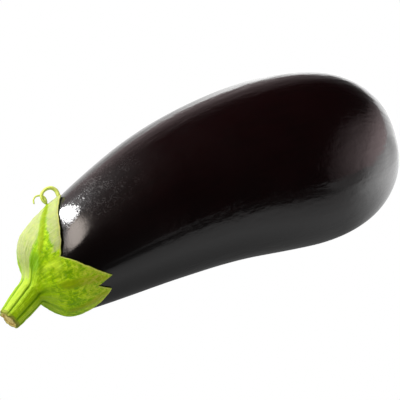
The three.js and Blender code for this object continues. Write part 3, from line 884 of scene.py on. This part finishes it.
class EGGPLANT_OT_curls(bpy.types.Operator):
    """Two tapered strips at the torn lobe's corners: a rounded box carried along a spiral that lies in
    the plane of the axis and the skin's outward direction, and drifts sideways"""
    bl_idname = "eggplant.curls"
    bl_label = "Curls"

    # angle, reach and height of the centre; radius at start and end; start angle and sweep; sideways
    # places at start and end; thickness and width; all in degrees and mm
    strips = {
        "curl_far": (-42, 47.6, 3.8, 3.8, 3.6, -58, 272, 2.2, -1.6, 1.9, 3.4),
        "curl_near": (-50, 43.4, 5.5, 4.3, 2.4, -80, 245, 0.4, -0.8, 1.0, 1.5),
    }

    def execute(self, context):
        material = curl_finish(context.scene.eggplant_green)
        for name, values in self.strips.items():
            at, reach, height, radius, end_radius, start, sweep, aside, aside_end, thick, wide = values
            part = np.linspace(0, 1, 90)[:, None]
            round_it = np.linspace(0, 2 * np.pi, 20, endpoint=False)[None]
            taper = blend(1, 0.75, part) * np.sqrt(np.clip(1 - (2 * part - 1) ** 30, 0, 1))
            x = 0.5 * np.sign(np.cos(round_it)) * np.abs(np.cos(round_it)) ** 0.8 * thick * taper
            z = 0.5 * np.sin(round_it) * wide * taper
            turn = np.radians(start + sweep * part)
            wobble = 0.12 * lumps(0 * turn, part, 41, 5, 0.11)
            loop = blend(radius, end_radius, np.sqrt(part)) + x + wobble
            side = blend(aside, aside_end, part) + z
            centre = np.array(off_skin(reach, height))
            out = np.array(off_skin(reach, height + 1)) - centre
            along = centre[0] + loop * (np.cos(turn) * out[1] + np.sin(turn) * out[0])
            across = centre[1] + loop * (np.sin(turn) * out[1] - np.cos(turn) * out[0])
            root = radians(at)
            points = placed(along, across * np.cos(root) - side * np.sin(root),
                            across * np.sin(root) + side * np.cos(root))
            piece = closed_mesh(name, points, {"lay": lay(round_it, part * 14, 4.0)})
            finish_piece(piece, "calyx", material)
        return {"FINISHED"}


class EGGPLANT_OT_stem(bpy.types.Operator):
    """The ribbed stalk: a profile from the middle of the rough cut face, over its corky edge and down
    the side to the foot, turned round the leaning axis and pressed in along the grooves"""
    bl_idname = "eggplant.stem"
    bl_label = "Stem"

    def execute(self, context):
        end, foot = STEM_END_ALONG, BOSS_ALONG + STEM_SINK
        foot_radius = BOSS_RADIUS - 0.02
        rim = STEM_END_RADIUS
        # how far the cut face is sunk in, by the radius
        sunk = np.array([(0.3, 0), (0.2, 1.2), (0.7, rim - 2.4), (0.1, rim - 1.6), (0, rim - 0.9)])
        fine = np.linspace(0, rim - 0.9, 30)
        face = np.stack([end + np.interp(fine, sunk[:, 1], sunk[:, 0]), fine], -1)
        corner = (face[-1], (end, rim - 0.4), (end + 0.35, rim), (end + 1, rim))
        edge = cubic(corner, np.linspace(0, 1, 12)[1:])
        side = cubic((
            (end + 1, rim), (blend(end, foot, 0.45), STEM_MIDDLE_RADIUS),
            (blend(end, foot, 0.75), foot_radius), (foot, foot_radius),
        ), np.linspace(0, 1, 110)[1:])
        profile = np.concatenate([face, edge, side, [(foot, 4), (foot, 0)]])
        angle = np.linspace(0, 2 * np.pi, 400, endpoint=False)[None]
        along, radius = profile[:, :1], profile[:, 1:]
        on_side = smooth(along, end + 0.3, end + 2)
        by_end = along < end + 3
        on_face = by_end * (1 - smooth(radius + 2 * on_side, rim - 1.5, rim - 0.6))
        depth = groove(angle) * smooth(radius, 1.2, rim - 0.5)
        uneven = layered(angle, along, (0.1, 51, 74, 5), (0.05, 52, 170, 3), (0.12, 53, 20, 2.3))
        uneven = uneven * on_side * (1 - smooth(along, foot - 1.5, foot))
        crumbs = layered(angle, radius, (0.22, 54, 9, 1.1), (0.12, 55, 31, 0.6)) * on_face
        lip = 0.3 * lumps(angle, 0 * radius, 56, 17, 1) * smooth(radius, 3.5, 5.2) * by_end
        lip = lip * (1 - on_side)
        poles = (radius == 0)
        pressed = np.where(poles, 0, np.maximum(radius - depth + uneven, 0.02))
        tilted = CUT_TILT * pressed * np.cos(angle - CUT_SIDE) * (1 - smooth(along, end + 1, end + 10))
        points = placed_on_stem(along - tilted + np.where(poles, 0, crumbs + lip), pressed, angle)
        near_edge = bell(radius - rim + 0.35, 0.7) * (along < end + 1.6)
        piece = closed_mesh("stem_stalk", points, {
            "fibre": lay(angle, along - BOSS_ALONG, STEM_LAY_RADIUS),
            # tone: painted light on the stem's upper ridges
            "tone": lit_side_tone(angle),
            # groove: where painted shade darkens the grooves
            "groove": groove(angle) / 0.8 * on_side,
            "cut": on_face,
            "cork": np.clip(near_edge * (0.75 + 0.35 * lumps(angle, along, 57, 24, 1)), 0, 1),
            "ring": bell(radius - CUT_RING_RADIUS, 0.8) * on_face,
        })
        finish_piece(piece, "stem", stalk_finish(context.scene.eggplant_green))
        return {"FINISHED"}


def direction(azimuth, elevation):
    """Unit vector from the object: azimuth 0 is towards -Y and 90 towards +X, both in degrees."""
    azimuth, elevation = radians(azimuth), radians(elevation)
    level = np.cos(elevation)
    return Vector((np.sin(azimuth) * level, -np.cos(azimuth) * level, np.sin(elevation)))


class EGGPLANT_OT_stage(bpy.types.Operator):
    """A plain white floor and room that glow, so that nothing shades them, three soft lights and the
    camera"""
    bl_idname = "eggplant.stage"
    bl_label = "Stage"

    def panel(self, name, at, first, last, distance, width, radiance, tint):
        """An ellipse of light facing a point, from one direction to another as seen from it."""
        ends = [Vector(at) + direction(*end) * distance for end in (first, last)]
        middle, span = (ends[0] + ends[1]) / 2, ends[1] - ends[0]
        facing = (middle - Vector(at)).normalized()
        long_side = (span - span.dot(facing) * facing).normalized()
        turn = Matrix((long_side, facing.cross(long_side), facing)).transposed()
        light = bpy.data.lights.new(name, "AREA")
        light.shape = "ELLIPSE"
        light.size, light.size_y = span.length, width
        light.energy = radiance * np.pi * (np.pi / 4 * span.length * width)
        light.color = tint
        lamp = bpy.data.objects.new(name, light)
        lamp.location = middle
        lamp.rotation_euler = turn.to_euler()
        lamp.visible_camera = False
        bpy.context.scene.collection.objects.link(lamp)

    def floor(self, look):
        """White for the camera and even for matt surfaces. In reflections it glows in front, behind
        and at the right, where the glow follows y over x, as the room's does."""
        turn = np.linspace(0, 2 * np.pi, 128, endpoint=False)
        ring = np.stack([np.cos(turn), np.sin(turn), 0 * turn], -1) * look.floor_radius / MILLIMETRE
        rings = np.stack([ring * 0, ring * 0.1, ring * 0.4, ring])
        floor = closed_mesh("floor", rings[::-1], {}, poles=(False, True))
        f = Finish("white floor")
        f.tree.nodes.remove(f.shader)
        place = f.add("TexCoord").outputs["Object"]
        apart = f.add("SeparateXYZ", {"Vector": place}).outputs
        x, y = apart["X"], apart["Y"]
        glow = f.times(f.band(y, -0.085, -0.025, 0.64, 0.13), f.band(y, -0.33, -0.11, 0.04, 1.0))
        behind = f.times(f.band(y, 0.0, 0.05), f.band(y, 0.1, 0.5, look.behind_glow, look.back_glow))
        glow = f.sum(glow, behind)
        slant = f.sum(f.times(y, -1.0), f.sum(x, 0.01, "MAXIMUM"), "DIVIDE")
        to_right = f.times(f.band(slant, -0.2, 0.35, 0.5, 1.0), f.band(slant, 0.5, 1.3, 1.0, 0.2))
        to_right = f.times(to_right, f.band(x, 0.075, 0.19))
        glow = f.sum(glow, f.times(to_right, look.right_glow))
        ray = f.add("LightPath").outputs
        strength = f.mix_value(ray["Is Diffuse Ray"], glow, look.bounce)
        strength = f.mix_value(ray["Is Camera Ray"], strength, 1.0)
        shine = f.add("Emission", {"Color": colour(look.floor_colour), "Strength": strength})
        f.tree.links.new(shine.outputs[0], f.tree.nodes["Material Output"].inputs["Surface"])
        floor.data.materials.append(f.material)

    def world(self, look):
        """White where the camera looks past the floor, and even for matt surfaces. In reflections dim,
        with two broad glows at the right and a fainter one behind, each falling off straight with the
        distance from its middle."""
        world = bpy.data.worlds.new("studio")
        world.use_nodes = True
        f = Finish("studio", world.node_tree)
        towards = f.add("TexCoord").outputs["Generated"]
        level = look.ambient
        for azimuth, elevation, size, setting, share in GLOWS:
            middle = direction(azimuth, elevation)
            away = f.add("VectorMath", {0: towards, 1: middle}, operation="DISTANCE")
            part = f.add("MapRange", {
                "Value": away.outputs["Value"], "From Min": size, "From Max": 0.0, "To Min": 0.0,
                "To Max": getattr(look, setting) * share,
            })
            level = f.sum(level, part.outputs["Result"])
        ray = f.add("LightPath").outputs
        strength = f.mix_value(ray["Is Diffuse Ray"], level, look.bounce * 0.6)
        strength = f.mix_value(ray["Is Camera Ray"], strength, 1.0)
        f.set(f.tree.nodes["Background"].inputs["Strength"], strength)
        tint = f.mix(ray["Is Glossy Ray"], colour(WHITE), colour(look.rosy))
        f.set(f.tree.nodes["Background"].inputs["Color"], tint)
        bpy.context.scene.world = world

    def execute(self, context):
        look = context.scene.eggplant_stage
        self.floor(look)
        self.world(look)
        for light in LIGHTS:
            tint = look.warm if light[0] == "top_light" else WHITE
            self.panel(*light, getattr(look, light[0]), tint)
        lens = bpy.data.cameras.new("camera")
        lens.lens = look.lens
        lens.sensor_width = 36
        camera = bpy.data.objects.new("camera", lens)
        back = direction(np.degrees(CAMERA_AZIMUTH), np.degrees(CAMERA_ELEVATION))
        camera.location = CAMERA_TARGET + back * CAMERA_DISTANCE
        camera.rotation_euler = back.to_track_quat("Z", "Y").to_euler()
        context.scene.collection.objects.link(camera)
        context.scene.camera = camera
        context.scene.view_settings.view_transform = "Standard"
        return {"FINISHED"}


class EGGPLANT_PT_pieces(bpy.types.Panel):
    """The pieces, in the order in which they are made"""
    bl_idname = "EGGPLANT_PT_pieces"
    bl_label = "Eggplant"
    bl_space_type = "VIEW_3D"
    bl_region_type = "UI"
    bl_category = "Eggplant"

    def draw(self, context):
        scene = context.scene
        for settings, operators in (
            (scene.eggplant_skin, (EGGPLANT_OT_skin,)),
            (scene.eggplant_green, (EGGPLANT_OT_calyx, EGGPLANT_OT_curls, EGGPLANT_OT_stem)),
            (scene.eggplant_stage, (EGGPLANT_OT_stage,)),
        ):
            box = self.layout.box()
            for operator in operators:
                box.operator(operator.bl_idname)
            for name in settings.__annotations__:
                box.prop(settings, name)


CLASSES = (
    SkinLook, GreenLook, StageLook, EGGPLANT_OT_skin, EGGPLANT_OT_calyx, EGGPLANT_OT_curls,
    EGGPLANT_OT_stem, EGGPLANT_OT_stage, EGGPLANT_PT_pieces,
)


def register():
    for kind in CLASSES:
        bpy.utils.register_class(kind)
    bpy.types.Scene.eggplant_skin = PointerProperty(type=SkinLook)
    bpy.types.Scene.eggplant_green = PointerProperty(type=GreenLook)
    bpy.types.Scene.eggplant_stage = PointerProperty(type=StageLook)


def unregister():
    del bpy.types.Scene.eggplant_stage
    del bpy.types.Scene.eggplant_green
    del bpy.types.Scene.eggplant_skin
    for kind in reversed(CLASSES):
        bpy.utils.unregister_class(kind)


def main():
    register()
    bpy.ops.eggplant.stage()
    bpy.ops.eggplant.skin()
    bpy.ops.eggplant.calyx()
    bpy.ops.eggplant.curls()
    bpy.ops.eggplant.stem()


if __name__ == "__main__":
    main()
